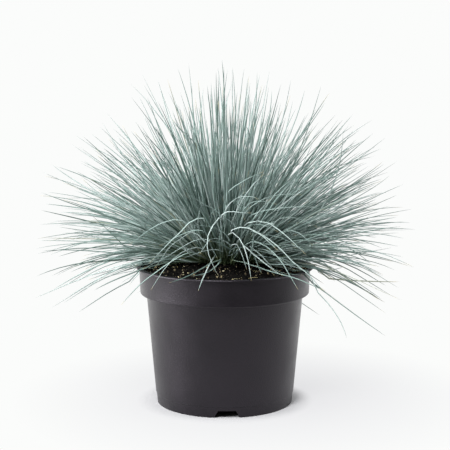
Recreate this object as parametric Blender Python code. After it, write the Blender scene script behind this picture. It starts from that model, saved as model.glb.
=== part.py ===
"""Potted blue fescue: a domed clump of needle leaves growing in a round nursery pot.

Metres, +Z up. The origin is on the pot's axis, at the level of the foot it stands on.
The front, where the leaves part and show the soil, faces -Y.
"""
import math
import random

import bmesh
import bpy
from mathutils import Vector, noise

# Pot, moulded in one piece
POT_HEIGHT = 0.133
RIM_RADIUS = 0.0853
RIM_THICKNESS = 0.0016
COLLAR_TOP_RADIUS = 0.0822
COLLAR_FOOT_RADIUS = 0.0813
COLLAR_FOOT_Z = 0.1067
COLLAR_ROUNDING = 0.0012
WALL_TOP_RADIUS = 0.0749
WALL_FOOT_RADIUS = 0.0667
FOOT_LINE_Z = 0.0103
FOOT_TOP_RADIUS = 0.0663
FOOT_RADIUS = 0.0654
FOOT_WIDTH = 0.0022
WALL = 0.0013
FLOOR_Z = 0.0070
FLOOR_THICKNESS = 0.0016
ROUND_SEGMENTS = 48

# Gaps in the foot, and holes in the floor, that let water out
NOTCH_COUNT = 3
NOTCH_FIRST_ANGLE = math.radians(-88.1)
NOTCH_FOOT_WIDTH = 0.0240
NOTCH_TOP_WIDTH = 0.0150
NOTCH_HEIGHT = 0.0053
DRAIN_COUNT = 4
DRAIN_RADIUS = 0.0045
DRAIN_CIRCLE_RADIUS = 0.0450
DRAIN_SIDES = 12

# Potting mix, mounded up to the crown of the plant
SOIL_EDGE_Z = 0.1290
SOIL_CENTRE_Z = 0.1375
SOIL_LUMP = 0.0008
SOIL_LUMP_SPACING = 0.0090
TOUCH_GAP = 0.0003

# Clump: tufts of leaves set out in the crown as seeds are in a sunflower
TUFT_COUNT = 54
TUFT_RING = 0.90
CROWN_RADIUS = 0.0300
GOLDEN_ANGLE = math.pi * (3.0 - math.sqrt(5.0))
FIRST_TUFT_ANGLE = math.radians(20.0)
SHEATH_RADIUS = 0.0023
SHEATH_LENGTH = 0.0130
LEAF_LENGTH = 0.1820
CLUMP_RADIUS = 0.1790
LEAF_LENGTH_LOSS = 0.0260
SHORTEST_LEAF = 0.76
LEAF_RADIUS = 0.0012
TUFT_SPREAD = 0.098

# Lean from upright, at the middle of a leaf in the lowest ring, and how it grows along a leaf
WIDEST_LEAN = math.radians(102.0)
LEAST_BEND = 0.12
EXTRA_BEND = 0.20
EARLY_BEND = 0.45
FRONT_BASE_LEAN = math.radians(46.0)
FRONT_TIP_LEAN = math.radians(132.0)
FRONT_HALF_ANGLE = math.radians(36.0)
FRONT_FADE = math.radians(26.0)
FRONT_LIFT = 0.20

UPRIGHT_LIMIT = 0.42
ARCHING_LIMIT = 0.74
UPRIGHT_LEAVES = 7
LEANING_LEAVES = 7
ARCHING_LEAVES = 6
FRONT_LEAVES = 4
STRAIGHT_STATIONS = (0.40, 0.74)
ARCHING_STATIONS = (0.32, 0.58, 0.82)
PATH_STEP = 0.004
SEED = 11


def remove_all_objects():
    for item in list(bpy.data.objects):
        bpy.data.objects.remove(item, do_unlink=True)


def surface(name, colour, roughness):
    material = bpy.data.materials.new(name)
    material.use_nodes = True
    shader = material.node_tree.nodes["Principled BSDF"]
    shader.inputs["Base Color"].default_value = (*colour, 1.0)
    shader.inputs["Roughness"].default_value = roughness
    shader.inputs["Metallic"].default_value = 0.0
    return material


def object_from(name, shape, material, smooth_angle=None):
    mesh = bpy.data.meshes.new(name)
    shape.to_mesh(mesh)
    shape.free()
    if smooth_angle is not None:
        mesh.shade_smooth()
        mesh.set_sharp_from_angle(angle=smooth_angle)
    mesh.materials.append(material)
    item = bpy.data.objects.new(name, mesh)
    bpy.context.scene.collection.objects.link(item)
    return item


def turned(profile):
    """Closed round body from a profile of (radius, height) that starts and ends on the axis."""
    shape = bmesh.new()
    points = [shape.verts.new((radius, 0.0, height)) for radius, height in profile]
    edges = [shape.edges.new(pair) for pair in zip(points, points[1:])]
    bmesh.ops.spin(
        shape, geom=points + edges, axis=(0, 0, 1), cent=(0, 0, 0),
        steps=ROUND_SEGMENTS, angle=math.tau, use_merge=True,
    )
    bmesh.ops.remove_doubles(shape, verts=shape.verts, dist=1e-6)
    bmesh.ops.recalc_face_normals(shape, faces=shape.faces)
    return shape


def wall_radius(height):
    """Outer radius of the tapering wall between the foot line and the collar."""
    share = (height - FOOT_LINE_Z) / (COLLAR_FOOT_Z - FOOT_LINE_Z)
    return WALL_FOOT_RADIUS + share * (WALL_TOP_RADIUS - WALL_FOOT_RADIUS)


def inner_profile(inset):
    """Inside of the pot from floor to rim, moved in by inset."""
    floor_top = FLOOR_Z + FLOOR_THICKNESS
    ledge_z = COLLAR_FOOT_Z + WALL
    collar_slope = (COLLAR_TOP_RADIUS - COLLAR_FOOT_RADIUS) / (POT_HEIGHT - COLLAR_FOOT_Z)
    collar_foot = COLLAR_FOOT_RADIUS - WALL + collar_slope * WALL
    return [
        (wall_radius(FOOT_LINE_Z) - WALL - inset, floor_top + inset),
        (wall_radius(COLLAR_FOOT_Z) - WALL - inset, ledge_z + inset),
        (collar_foot - inset, ledge_z + inset),
        (COLLAR_TOP_RADIUS - WALL - inset, POT_HEIGHT - RIM_THICKNESS),
    ]


def notch_cutter():
    """Wedges that cut the gaps through the foot, one for each notch."""
    shape = bmesh.new()
    below = 0.0010
    slope = (NOTCH_FOOT_WIDTH - NOTCH_TOP_WIDTH) / (2.0 * NOTCH_HEIGHT)
    low_half = NOTCH_FOOT_WIDTH / 2.0 + slope * below
    high_half = NOTCH_TOP_WIDTH / 2.0
    near = FOOT_RADIUS - 6.0 * FOOT_WIDTH
    depth = 8.0 * FOOT_WIDTH
    for index in range(NOTCH_COUNT):
        angle = NOTCH_FIRST_ANGLE + index * math.tau / NOTCH_COUNT
        outward = Vector((math.cos(angle), math.sin(angle), 0.0))
        sideways = Vector((-math.sin(angle), math.cos(angle), 0.0))
        section = [(-low_half, -below), (low_half, -below),
                   (high_half, NOTCH_HEIGHT), (-high_half, NOTCH_HEIGHT)]
        corners = [shape.verts.new(outward * near + sideways * side + Vector((0, 0, height)))
                   for side, height in section]
        start = shape.faces.new(corners)
        grown = bmesh.ops.extrude_face_region(shape, geom=[start])
        moved = [part for part in grown["geom"] if isinstance(part, bmesh.types.BMVert)]
        bmesh.ops.translate(shape, verts=moved, vec=outward * depth)
    bmesh.ops.recalc_face_normals(shape, faces=shape.faces)
    return shape


def drain_cutter():
    """Round plugs that cut the drain holes, four around one in the middle."""
    shape = bmesh.new()
    centres = [Vector((0.0, 0.0, 0.0))]
    for index in range(DRAIN_COUNT):
        angle = (index + 0.5) * math.tau / DRAIN_COUNT
        centres.append(DRAIN_CIRCLE_RADIUS * Vector((math.cos(angle), math.sin(angle), 0.0)))
    for centre in centres:
        plug = bmesh.ops.create_cone(
            shape, cap_ends=True, segments=DRAIN_SIDES, radius1=DRAIN_RADIUS,
            radius2=DRAIN_RADIUS, depth=4.0 * FLOOR_THICKNESS,
        )
        middle = centre + Vector((0.0, 0.0, FLOOR_Z + FLOOR_THICKNESS / 2.0))
        bmesh.ops.translate(shape, verts=plug["verts"], vec=middle)
    return shape


def make_pot():
    plastic = surface("matte_charcoal_plastic", (0.028, 0.027, 0.031), 0.5)
    edge = RIM_THICKNESS / 3.0
    rim_z = POT_HEIGHT - RIM_THICKNESS
    inside = inner_profile(0.0)
    profile = [(0.0, FLOOR_Z + FLOOR_THICKNESS)]
    profile += inside[:-1]
    profile += [
        (inside[-1][0], POT_HEIGHT - edge),
        (inside[-1][0] + edge, POT_HEIGHT),
        (RIM_RADIUS - edge, POT_HEIGHT),
        (RIM_RADIUS, POT_HEIGHT - edge),
        (RIM_RADIUS, rim_z + edge / 2.0),
        (RIM_RADIUS - edge / 2.0, rim_z),
        (COLLAR_TOP_RADIUS, rim_z),
        (COLLAR_FOOT_RADIUS, COLLAR_FOOT_Z + COLLAR_ROUNDING),
        (COLLAR_FOOT_RADIUS - COLLAR_ROUNDING / 3.0, COLLAR_FOOT_Z + COLLAR_ROUNDING / 3.0),
        (COLLAR_FOOT_RADIUS - COLLAR_ROUNDING, COLLAR_FOOT_Z),
        (WALL_TOP_RADIUS, COLLAR_FOOT_Z),
        (WALL_FOOT_RADIUS, FOOT_LINE_Z),
        (FOOT_TOP_RADIUS, FOOT_LINE_Z - 0.0003),
        (FOOT_RADIUS, 0.0),
        (FOOT_RADIUS - FOOT_WIDTH, 0.0),
        (FOOT_RADIUS - FOOT_WIDTH, FLOOR_Z),
        (0.0, FLOOR_Z),
    ]
    pot = object_from("pot", turned(profile), plastic, math.radians(35.0))
    for name, shape in (("notch_cutter", notch_cutter()), ("drain_cutter", drain_cutter())):
        cutter = object_from(name, shape, plastic)
        cutter.hide_render = True
        cutter.display_type = "WIRE"
        cut = pot.modifiers.new(name, "BOOLEAN")
        cut.operation = "DIFFERENCE"
        cut.solver = "EXACT"
        cut.object = cutter


def soil_height(radius):
    """Height of the mounded mix at this distance from the axis, lumps left out."""
    edge_radius = COLLAR_TOP_RADIUS - WALL
    return SOIL_EDGE_Z + (SOIL_CENTRE_Z - SOIL_EDGE_Z) * (1.0 - (radius / edge_radius) ** 2)


def make_soil():
    mix = surface("damp_potting_mix", (0.018, 0.013, 0.010), 0.95)
    sides = inner_profile(TOUCH_GAP)
    slope = (sides[3][0] - sides[2][0]) / (sides[3][1] - sides[2][1])
    edge_radius = sides[2][0] + slope * (SOIL_EDGE_Z - sides[2][1])
    top_radii = [edge_radius * share for share in (0.0, 0.24, 0.46, 0.63, 0.78, 0.90)]
    profile = [(radius, soil_height(radius)) for radius in top_radii]
    profile += [(edge_radius, SOIL_EDGE_Z), sides[2], sides[1], sides[0]]
    profile += [(0.0, FLOOR_Z + FLOOR_THICKNESS + TOUCH_GAP)]
    shape = turned(profile)
    for vert in shape.verts:
        radius = math.hypot(vert.co.x, vert.co.y)
        if vert.co.z > SOIL_EDGE_Z + 0.0002 and radius > 1.25 * CROWN_RADIUS:
            vert.co.z += SOIL_LUMP * noise.noise(vert.co / SOIL_LUMP_SPACING)
    object_from("soil", shape, mix)


def frontness(place):
    """1 where a leaf faces the open front of the clump, 0 at the sides and back."""
    if place.length < 1e-6:
        return 0.0
    off_front = abs(math.atan2(place.x, -place.y))
    share = 1.0 - (off_front - FRONT_HALF_ANGLE) / FRONT_FADE
    share = min(max(share, 0.0), 1.0)
    return share * share * (3.0 - 2.0 * share)


def leans(place, arching):
    """Lean from upright at a leaf's foot and at its tip, and how evenly it bends between."""
    ring = place.length
    middle = math.acos(1.0 - ring ** 2 * (1.0 - math.cos(WIDEST_LEAN)))
    bend = LEAST_BEND + EXTRA_BEND * ring ** 3
    front = frontness(place)
    if not arching:
        middle *= 1.0 - FRONT_LIFT * front
    foot = (1.0 - bend) * middle
    tip = (1.0 + bend) * middle
    if arching:
        foot += (FRONT_BASE_LEAN - foot) * front
        tip += (FRONT_TIP_LEAN - tip) * front
    return foot, tip, 1.0 - EARLY_BEND * ring ** 3


def leaf_station(place, arching, reach):
    """Point and direction on a leaf, reach metres along it from the soil.

    place is where it grows, on a disc of radius 1 that stands for the crown.
    """
    ring = place.length
    outward = Vector((place.x / ring, place.y / ring, 0.0)) if ring > 1e-6 else Vector((1, 0, 0))
    foot, tip, evenness = leans(place, arching)
    start_radius = CROWN_RADIUS * ring
    point = outward * start_radius
    point.z = soil_height(start_radius) + TOUCH_GAP
    steps = max(1, round(reach / PATH_STEP))
    step = reach / steps
    for index in range(steps):
        share = (index + 0.5) * step / LEAF_LENGTH
        lean = foot + (tip - foot) * share ** evenness
        point = point + step * (math.sin(lean) * outward + math.cos(lean) * Vector((0, 0, 1)))
    lean = foot + (tip - foot) * (reach / LEAF_LENGTH) ** evenness
    return point, math.sin(lean) * outward + math.cos(lean) * Vector((0, 0, 1))


def trimmed(place, arching, length):
    """Length that keeps the leaf's tip within the clump's radius."""
    while leaf_station(place, arching, length)[0].xy.length > CLUMP_RADIUS:
        length -= PATH_STEP / 4.0
    return length


def ring_corner(point, direction, angle, radius):
    """Corner of a cross-section: a flat circle's point, tipped over with the leaf."""
    tipped = Vector((0, 0, 1)).rotation_difference(direction)
    return point + tipped @ (radius * Vector((math.cos(angle), math.sin(angle), 0.0)))


def tuft_shape(place, leaves, arching, stations, draw):
    """Leaves fused at one sheath: each face of the sheath's top grows into a tapering leaf."""
    shape = bmesh.new()
    sector = math.tau / leaves
    turn = draw.uniform(0.0, sector)
    foot_corners = []
    for index in range(leaves):
        angle = turn + index * sector
        flat = CROWN_RADIUS * Vector((place.x, place.y, 0.0))
        flat += SHEATH_RADIUS * Vector((math.cos(angle), math.sin(angle), 0.0))
        flat.z = soil_height(math.hypot(flat.x, flat.y)) + TOUCH_GAP
        foot_corners.append(shape.verts.new(flat))
    foot = shape.faces.new(foot_corners)

    grown = bmesh.ops.extrude_face_region(shape, geom=[foot], use_keep_orig=True)
    top = [part for part in grown["geom"] if isinstance(part, bmesh.types.BMFace)][0]
    point, direction = leaf_station(place, arching, SHEATH_LENGTH)
    for index, vert in enumerate(top.verts):
        vert.co = ring_corner(point, direction, turn + index * sector, SHEATH_RADIUS)
    fan = bmesh.ops.poke(shape, faces=[top])
    middle = fan["verts"][0]
    sectors = []
    for face in fan["faces"]:
        centre = face.calc_center_median() - middle.co
        flat = Vector((0, 0, 1)).rotation_difference(direction).inverted() @ centre
        sectors.append((math.atan2(flat.y, flat.x), face))
    sectors.sort(key=lambda pair: pair[0])

    full_length = LEAF_LENGTH - LEAF_LENGTH_LOSS * place.length ** 2
    longest = draw.randrange(leaves)
    leaf_plans = []
    for index, (angle, face) in enumerate(sectors):
        share = 1.0 if index == longest else draw.uniform(SHORTEST_LEAF, 0.97)
        swing = angle + draw.uniform(-0.25, 0.25) * sector
        away = TUFT_SPREAD * draw.uniform(0.6, 1.0)
        leaf_place = place + away * Vector((math.cos(swing), math.sin(swing)))
        start = [vert for vert in face.verts if vert is not middle]
        length = trimmed(leaf_place, arching, share * full_length)
        leaf_plans.append([angle, leaf_place, length, face, middle, start])

    for number, station in enumerate(stations):
        radius = LEAF_RADIUS * (1.0 - 0.22 * number)
        for plan in leaf_plans:
            angle, leaf_place, length, face, inner, outer = plan
            grown = bmesh.ops.extrude_discrete_faces(shape, faces=[face])
            cap = grown["faces"][0]
            point, direction = leaf_station(leaf_place, arching, station * length)
            order = [nearest_to(inner.co, cap.verts)]
            order += [nearest_to(vert.co, cap.verts) for vert in outer]
            sides = [side_of(vert.co, inner.co, outer, angle, direction) for vert in outer]
            order[0].co = ring_corner(point, direction, angle + math.pi, radius)
            for vert, side in zip(order[1:], sides):
                vert.co = ring_corner(point, direction, angle + side * math.pi / 3.0, radius)
            plan[3] = cap
            plan[4] = order[0]
            plan[5] = order[1:]
    for plan in leaf_plans:
        tip = bmesh.ops.poke(shape, faces=[plan[3]])["verts"][0]
        tip.co = leaf_station(plan[1], arching, plan[2])[0]
    bmesh.ops.recalc_face_normals(shape, faces=shape.faces)
    return shape


def nearest_to(spot, verts):
    return min(verts, key=lambda vert: (vert.co - spot).length)


def side_of(spot, inner, outer, angle, direction):
    """-1 or 1: which of a leaf section's two outer corners this one is."""
    middle = (outer[0].co + outer[1].co) / 2.0
    tipped = Vector((0, 0, 1)).rotation_difference(direction)
    sideways = tipped @ Vector((-math.sin(angle), math.cos(angle), 0.0))
    return 1.0 if (spot - middle).dot(sideways) > 0.0 else -1.0


def make_tufts():
    leaf = surface("fescue_leaf", (0.26, 0.35, 0.33), 0.55)
    draw = random.Random(SEED)
    counts = {"upright": 0, "leaning": 0, "arching": 0}
    for index in range(TUFT_COUNT):
        ring = TUFT_RING * math.sqrt((index + 0.5) / TUFT_COUNT)
        angle = FIRST_TUFT_ANGLE + index * GOLDEN_ANGLE
        place = ring * Vector((math.cos(angle), math.sin(angle)))
        if ring < UPRIGHT_LIMIT:
            kind, leaves, stations = "upright", UPRIGHT_LEAVES, STRAIGHT_STATIONS
        elif ring < ARCHING_LIMIT:
            kind, leaves, stations = "leaning", LEANING_LEAVES, STRAIGHT_STATIONS
        else:
            kind, leaves, stations = "arching", ARCHING_LEAVES, ARCHING_STATIONS
            if frontness(place) > 0.5:
                leaves = FRONT_LEAVES
        counts[kind] += 1
        name = f"{kind}_tuft_{counts[kind]:02d}"
        shape = tuft_shape(place, leaves, kind == "arching", stations, draw)
        object_from(name, shape, leaf)


remove_all_objects()
make_pot()
make_soil()
make_tufts()
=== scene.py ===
"""Potted blue fescue: a dome of grey-blue needle leaves growing in a round charcoal nursery pot.

Metres, +Z up, the front facing -Y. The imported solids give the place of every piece.
"""
import math

import bpy
import numpy as np
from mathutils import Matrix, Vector, noise


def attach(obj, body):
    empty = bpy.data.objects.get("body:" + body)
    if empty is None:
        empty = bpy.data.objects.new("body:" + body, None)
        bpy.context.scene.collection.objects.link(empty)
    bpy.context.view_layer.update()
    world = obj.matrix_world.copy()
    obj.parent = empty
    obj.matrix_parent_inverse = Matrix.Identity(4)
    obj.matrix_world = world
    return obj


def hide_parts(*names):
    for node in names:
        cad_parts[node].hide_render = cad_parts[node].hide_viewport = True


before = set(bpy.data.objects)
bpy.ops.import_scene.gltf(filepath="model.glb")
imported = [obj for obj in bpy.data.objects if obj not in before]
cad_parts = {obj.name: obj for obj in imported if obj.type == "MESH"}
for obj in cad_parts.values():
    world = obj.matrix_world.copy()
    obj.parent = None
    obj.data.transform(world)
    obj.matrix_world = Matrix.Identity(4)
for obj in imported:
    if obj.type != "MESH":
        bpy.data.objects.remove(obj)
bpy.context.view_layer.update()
bpy.context.scene.view_settings.view_transform = "Standard"


# Pot
# A two-litre nursery pot, injection-moulded in one piece in carbon-black polypropylene: a thin rolled
# lip, a deep collar for stacking, a wall that tapers to the foot, and a raised floor. Three notches
# in the foot and five holes in the floor let the water out.
POT_HEIGHT = 0.1330
LIP_RADIUS = 0.0853
LIP_THICKNESS = 0.0016
LIP_ROUNDING = 0.0011
COLLAR_TOP_RADIUS = 0.0822
COLLAR_FOOT_RADIUS = 0.0813
COLLAR_FOOT_Z = 0.1067
COLLAR_ROUNDING = 0.0012
WALL_TOP_RADIUS = 0.0754
WALL_FOOT_RADIUS = 0.0669
FOOT_LINE_Z = 0.0103
FOOT_LINE_STEP = 0.0005
FOOT_TOP_RADIUS = 0.0663
FOOT_RADIUS = 0.0654
FOOT_WIDTH = 0.0022
WALL = 0.0013
FLOOR_UNDERSIDE_Z = 0.0070
FLOOR_THICKNESS = 0.0016
POT_SEGMENTS = 160
FLOOR_DISC_RADIUS = 0.0200
EDGE_ROUNDING = 0.00025
ROUNDED_EDGE_ANGLE = math.radians(24.0)
SMOOTHED_ANGLE = math.radians(34.0)
ROUND_TURNS = (0.0, math.radians(30.0), math.radians(60.0), math.radians(90.0))
NOTCHES = 3
NOTCH_FIRST_ANGLE = math.radians(-88.1)
NOTCH_FOOT_WIDTH = 0.0246
NOTCH_TOP_WIDTH = 0.0164
NOTCH_HEIGHT = 0.0067
NOTCH_CUT_DEPTH = 8.0 * FOOT_WIDTH
OUTER_HOLES = 4
HOLE_RADIUS = 0.0045
HOLE_CIRCLE_RADIUS = 0.0450
DRILL_SEGMENTS = 32
DRILL_LENGTH = 0.0060


def linear(hex_colour):
    """An sRGB hex colour as the linear one that shaders work in."""
    shares = [int(hex_colour[place:place + 2], 16) / 255.0 for place in (1, 3, 5)]
    bent = [share / 12.92 if share <= 0.04045 else ((share + 0.055) / 1.055) ** 2.4
            for share in shares]
    return (*bent, 1.0)


def wire(tree, node, values=None, links=None):
    """Gives a node its socket values and its incoming links."""
    for socket, value in (values or {}).items():
        node.inputs[socket].default_value = value
    for socket, source in (links or {}).items():
        tree.links.new(source, node.inputs[socket])


def put(tree, kind, values=None, links=None, stops=None, **settings):
    """Adds a node with its settings, socket values, incoming links and, on a ramp, colour stops."""
    node = tree.nodes.new(kind)
    for name, value in settings.items():
        setattr(node, name, value)
    wire(tree, node, values, links)
    for number, (place, hex_colour) in enumerate(stops or []):
        ramp = node.color_ramp.elements
        stop = ramp[number] if number < 2 else ramp.new(place)
        stop.position = place
        stop.color = linear(hex_colour)
    return node


def finish_called(name):
    """A new material, its node tree and its Principled shader."""
    material = bpy.data.materials.new(name)
    material.use_nodes = True
    tree = material.node_tree
    return material, tree, tree.nodes["Principled BSDF"]


def pick(item):
    """Selects an item alone and makes it the active one."""
    bpy.ops.object.select_all(action="DESELECT")
    item.select_set(True)
    bpy.context.view_layer.objects.active = item


def new_shape(add, **settings):
    """The shape that one of Blender's operators adds, with nothing else selected."""
    bpy.ops.object.select_all(action="DESELECT")
    add(**settings)
    return bpy.context.object


def edit_all():
    """Opens the active mesh for editing, with all of it selected."""
    bpy.ops.object.mode_set(mode="EDIT")
    bpy.ops.mesh.select_all(action="SELECT")


def moulded_round(name, rings):
    """A closed round body, extruded ring by ring from the middle of its underside."""
    radius, height = rings[0]
    body = new_shape(bpy.ops.mesh.primitive_circle_add, vertices=POT_SEGMENTS, radius=radius,
                     location=(0, 0, height))
    body.name = name
    edit_all()
    for next_radius, next_height in rings[1:]:
        bpy.ops.mesh.extrude_region_move()
        bpy.ops.transform.translate(value=(0, 0, next_height - height))
        wider = next_radius / radius
        bpy.ops.transform.resize(value=(wider, wider, 1), center_override=(0, 0, next_height))
        radius, height = next_radius, next_height
    bpy.ops.mesh.select_all(action="DESELECT")
    bpy.ops.mesh.select_non_manifold()
    bpy.ops.mesh.fill_holes(sides=0)
    bpy.ops.mesh.select_all(action="SELECT")
    bpy.ops.mesh.normals_make_consistent(inside=False)
    bpy.ops.object.mode_set(mode="OBJECT")
    bpy.ops.object.transform_apply(location=True, rotation=True, scale=True)
    return body


def use_modifier(item, kind, **settings):
    """Adds a modifier to an item and applies it."""
    modifier = item.modifiers.new(kind.lower(), kind)
    for name, value in settings.items():
        setattr(modifier, name, value)
    pick(item)
    bpy.ops.object.modifier_apply(modifier=modifier.name)


def cut_away(item, cutter):
    """Cuts a cutter's shape out of an item and takes the cutter away."""
    use_modifier(item, "BOOLEAN", operation="DIFFERENCE", solver="EXACT", object=cutter)
    bpy.data.objects.remove(cutter)


def wall_radius(height):
    """Outer radius of the tapering wall."""
    share = (height - FOOT_LINE_Z) / (COLLAR_FOOT_Z - FOOT_LINE_Z)
    return WALL_FOOT_RADIUS + share * (WALL_TOP_RADIUS - WALL_FOOT_RADIUS)


def quarter_round(radius, height, rounding, upwards):
    """Points round an outer edge, from its side to its flat face, above the side if upwards is 1."""
    return [(radius - rounding * (1.0 - math.cos(turn)),
             height - upwards * rounding * (1.0 - math.sin(turn))) for turn in ROUND_TURNS]


floor_top_z = FLOOR_UNDERSIDE_Z + FLOOR_THICKNESS
ledge_z = COLLAR_FOOT_Z + WALL
collar_slope = (COLLAR_TOP_RADIUS - COLLAR_FOOT_RADIUS) / (POT_HEIGHT - COLLAR_FOOT_Z)
inner_ledge_radius = COLLAR_FOOT_RADIUS - WALL + collar_slope * WALL
lip_edge = LIP_THICKNESS / 4.0
lip_underside_z = POT_HEIGHT - LIP_THICKNESS
inner_floor_radius = wall_radius(FOOT_LINE_Z) - WALL
inner_wall_top_radius = wall_radius(COLLAR_FOOT_Z) - WALL
inner_lip_radius = COLLAR_TOP_RADIUS - WALL
pot = moulded_round("nursery_pot", [
    (FLOOR_DISC_RADIUS, FLOOR_UNDERSIDE_Z),
    (FOOT_RADIUS - FOOT_WIDTH, FLOOR_UNDERSIDE_Z),
    (FOOT_RADIUS - FOOT_WIDTH, 0.0),
    (FOOT_RADIUS, 0.0),
    (FOOT_TOP_RADIUS, FOOT_LINE_Z - FOOT_LINE_STEP),
    (WALL_FOOT_RADIUS, FOOT_LINE_Z),
    (WALL_TOP_RADIUS, COLLAR_FOOT_Z),
    *reversed(quarter_round(COLLAR_FOOT_RADIUS, COLLAR_FOOT_Z, COLLAR_ROUNDING, -1)),
    (COLLAR_TOP_RADIUS, lip_underside_z),
    (LIP_RADIUS - lip_edge / 2.0, lip_underside_z),
    (LIP_RADIUS, lip_underside_z + lip_edge / 2.0),
    *quarter_round(LIP_RADIUS, POT_HEIGHT, LIP_ROUNDING, 1),
    (inner_lip_radius + lip_edge, POT_HEIGHT),
    (inner_lip_radius, POT_HEIGHT - lip_edge),
    (inner_ledge_radius, ledge_z),
    (inner_wall_top_radius, ledge_z),
    (inner_floor_radius, floor_top_z),
    (FLOOR_DISC_RADIUS, floor_top_z),
])
use_modifier(pot, "BEVEL", width=EDGE_ROUNDING, segments=2, limit_method="ANGLE",
             angle_limit=ROUNDED_EDGE_ANGLE)

notch_slope = (NOTCH_FOOT_WIDTH - NOTCH_TOP_WIDTH) / 2.0
for number in range(NOTCHES):
    angle = NOTCH_FIRST_ANGLE + number * math.tau / NOTCHES
    wedge = new_shape(bpy.ops.mesh.primitive_cube_add, size=1.0)
    edit_all()
    bpy.ops.transform.resize(value=(NOTCH_CUT_DEPTH, NOTCH_FOOT_WIDTH, 2.0 * NOTCH_HEIGHT),
                             center_override=(0, 0, 0))
    bpy.ops.object.mode_set(mode="OBJECT")
    for vert in wedge.data.vertices:
        above_foot = 1.0 if vert.co.z > 0.0 else -1.0
        vert.co.y -= above_foot * math.copysign(notch_slope, vert.co.y)
    wedge.location = (FOOT_RADIUS * math.cos(angle), FOOT_RADIUS * math.sin(angle), 0.0)
    wedge.rotation_euler = (0.0, 0.0, angle)
    cut_away(pot, wedge)

hole_spots = [(0.0, 0.0)]
for number in range(OUTER_HOLES):
    angle = (number + 0.5) * math.tau / OUTER_HOLES
    hole_spots.append((HOLE_CIRCLE_RADIUS * math.cos(angle), HOLE_CIRCLE_RADIUS * math.sin(angle)))
for x, y in hole_spots:
    drill = new_shape(bpy.ops.mesh.primitive_cylinder_add, vertices=DRILL_SEGMENTS, radius=HOLE_RADIUS,
                      depth=DRILL_LENGTH, location=(x, y, FLOOR_UNDERSIDE_Z + FLOOR_THICKNESS / 2.0))
    cut_away(pot, drill)

pick(pot)
bpy.ops.object.shade_smooth_by_angle(angle=SMOOTHED_ANGLE)

# Polypropylene with a spark-eroded mould texture: near black, matt, with a broad soft sheen where it
# faces a light, and slight smudges from handling.
GRAIN_SIZE = 0.0011
GRAIN_DEPTH = 0.0003
SMUDGE_SIZE = 0.030
pot_finish, tree, shader = finish_called("moulded_black_polypropylene")
spot = put(tree, "ShaderNodeTexCoord").outputs["Object"]
smudge = put(tree, "ShaderNodeTexNoise", {"Scale": 1.0 / SMUDGE_SIZE, "Detail": 4.0},
             {"Vector": spot})
grain = put(tree, "ShaderNodeTexNoise", {"Scale": 1.0 / GRAIN_SIZE, "Detail": 3.0},
            {"Vector": spot})
tint = put(tree, "ShaderNodeValToRGB", links={"Fac": smudge.outputs["Fac"]},
           stops=[(0.30, "#060507"), (0.72, "#120f13")])
matt = put(tree, "ShaderNodeMapRange", {"From Min": 0.3, "From Max": 0.7, "To Min": 0.30, "To Max": 0.44},
           {"Value": smudge.outputs["Fac"]})
relief = put(tree, "ShaderNodeBump", {"Strength": 0.70, "Distance": GRAIN_DEPTH},
             {"Height": grain.outputs["Fac"]})
wire(tree, shader, {"IOR": 1.49, "Specular IOR Level": 0.46, "Specular Tint": linear("#f6edfb")},
     {"Base Color": tint.outputs["Color"], "Roughness": matt.outputs["Result"],
      "Normal": relief.outputs["Normal"]})
pot.data.materials.clear()
pot.data.materials.append(pot_finish)
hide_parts("pot")
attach(pot, "root")


# Potting mix
# Damp peat and composted bark that fills the pot and is mounded up to the crown of the plant.
# The roots hold it together, and only its crumbly top shows.
SOIL_EDGE_Z = 0.1304
SOIL_CENTRE_Z = 0.1375
TOUCH_GAP = 0.0003
SOIL_RING_STEP = 0.0011
SOIL_EDGE_FADE = 0.0040
SOIL_SMOOTHED_ANGLE = math.radians(50.0)
CRUMB_RELIEF = 0.0011
CRUMB_SPACING = 0.0036
CRUMB_NOISE = (0.9, 2.1, 4)
LUMP_RELIEF = 0.0013
LUMP_SPACING = 0.0120
CROWN_RADIUS = 0.0300


def soil_height(radius):
    """Height of the mounded mix at a distance from the axis, crumbs left out."""
    return SOIL_EDGE_Z + (SOIL_CENTRE_Z - SOIL_EDGE_Z) * (1.0 - (radius / inner_lip_radius) ** 2)


inner_slope = (inner_lip_radius - inner_ledge_radius) / (lip_underside_z - ledge_z)
soil_edge_radius = inner_ledge_radius + inner_slope * (SOIL_EDGE_Z - ledge_z) - TOUCH_GAP
soil_rings = [
    (FLOOR_DISC_RADIUS, floor_top_z + TOUCH_GAP),
    (inner_floor_radius - TOUCH_GAP, floor_top_z + TOUCH_GAP),
    (inner_wall_top_radius - TOUCH_GAP, ledge_z + TOUCH_GAP),
    (inner_ledge_radius - TOUCH_GAP, ledge_z + TOUCH_GAP),
    (soil_edge_radius, SOIL_EDGE_Z),
]
ring_count = int(soil_edge_radius / SOIL_RING_STEP)
for number in range(1, ring_count):
    radius = soil_edge_radius * (1.0 - number / ring_count)
    soil_rings.append((radius, soil_height(radius)))
soil = moulded_round("potting_mix", soil_rings)
for vert in soil.data.vertices:
    radius = vert.co.xy.length
    if vert.co.z > SOIL_EDGE_Z and radius < soil_edge_radius - SOIL_RING_STEP / 2.0:
        fade = min(1.0, (soil_edge_radius - radius) / SOIL_EDGE_FADE)
        lumps = LUMP_RELIEF * noise.noise(vert.co / LUMP_SPACING)
        crumbs = CRUMB_RELIEF * abs(noise.fractal(vert.co / CRUMB_SPACING, *CRUMB_NOISE))
        vert.co.z += fade * (lumps + crumbs)
pick(soil)
bpy.ops.object.shade_smooth_by_angle(angle=SOIL_SMOOTHED_ANGLE)

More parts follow.
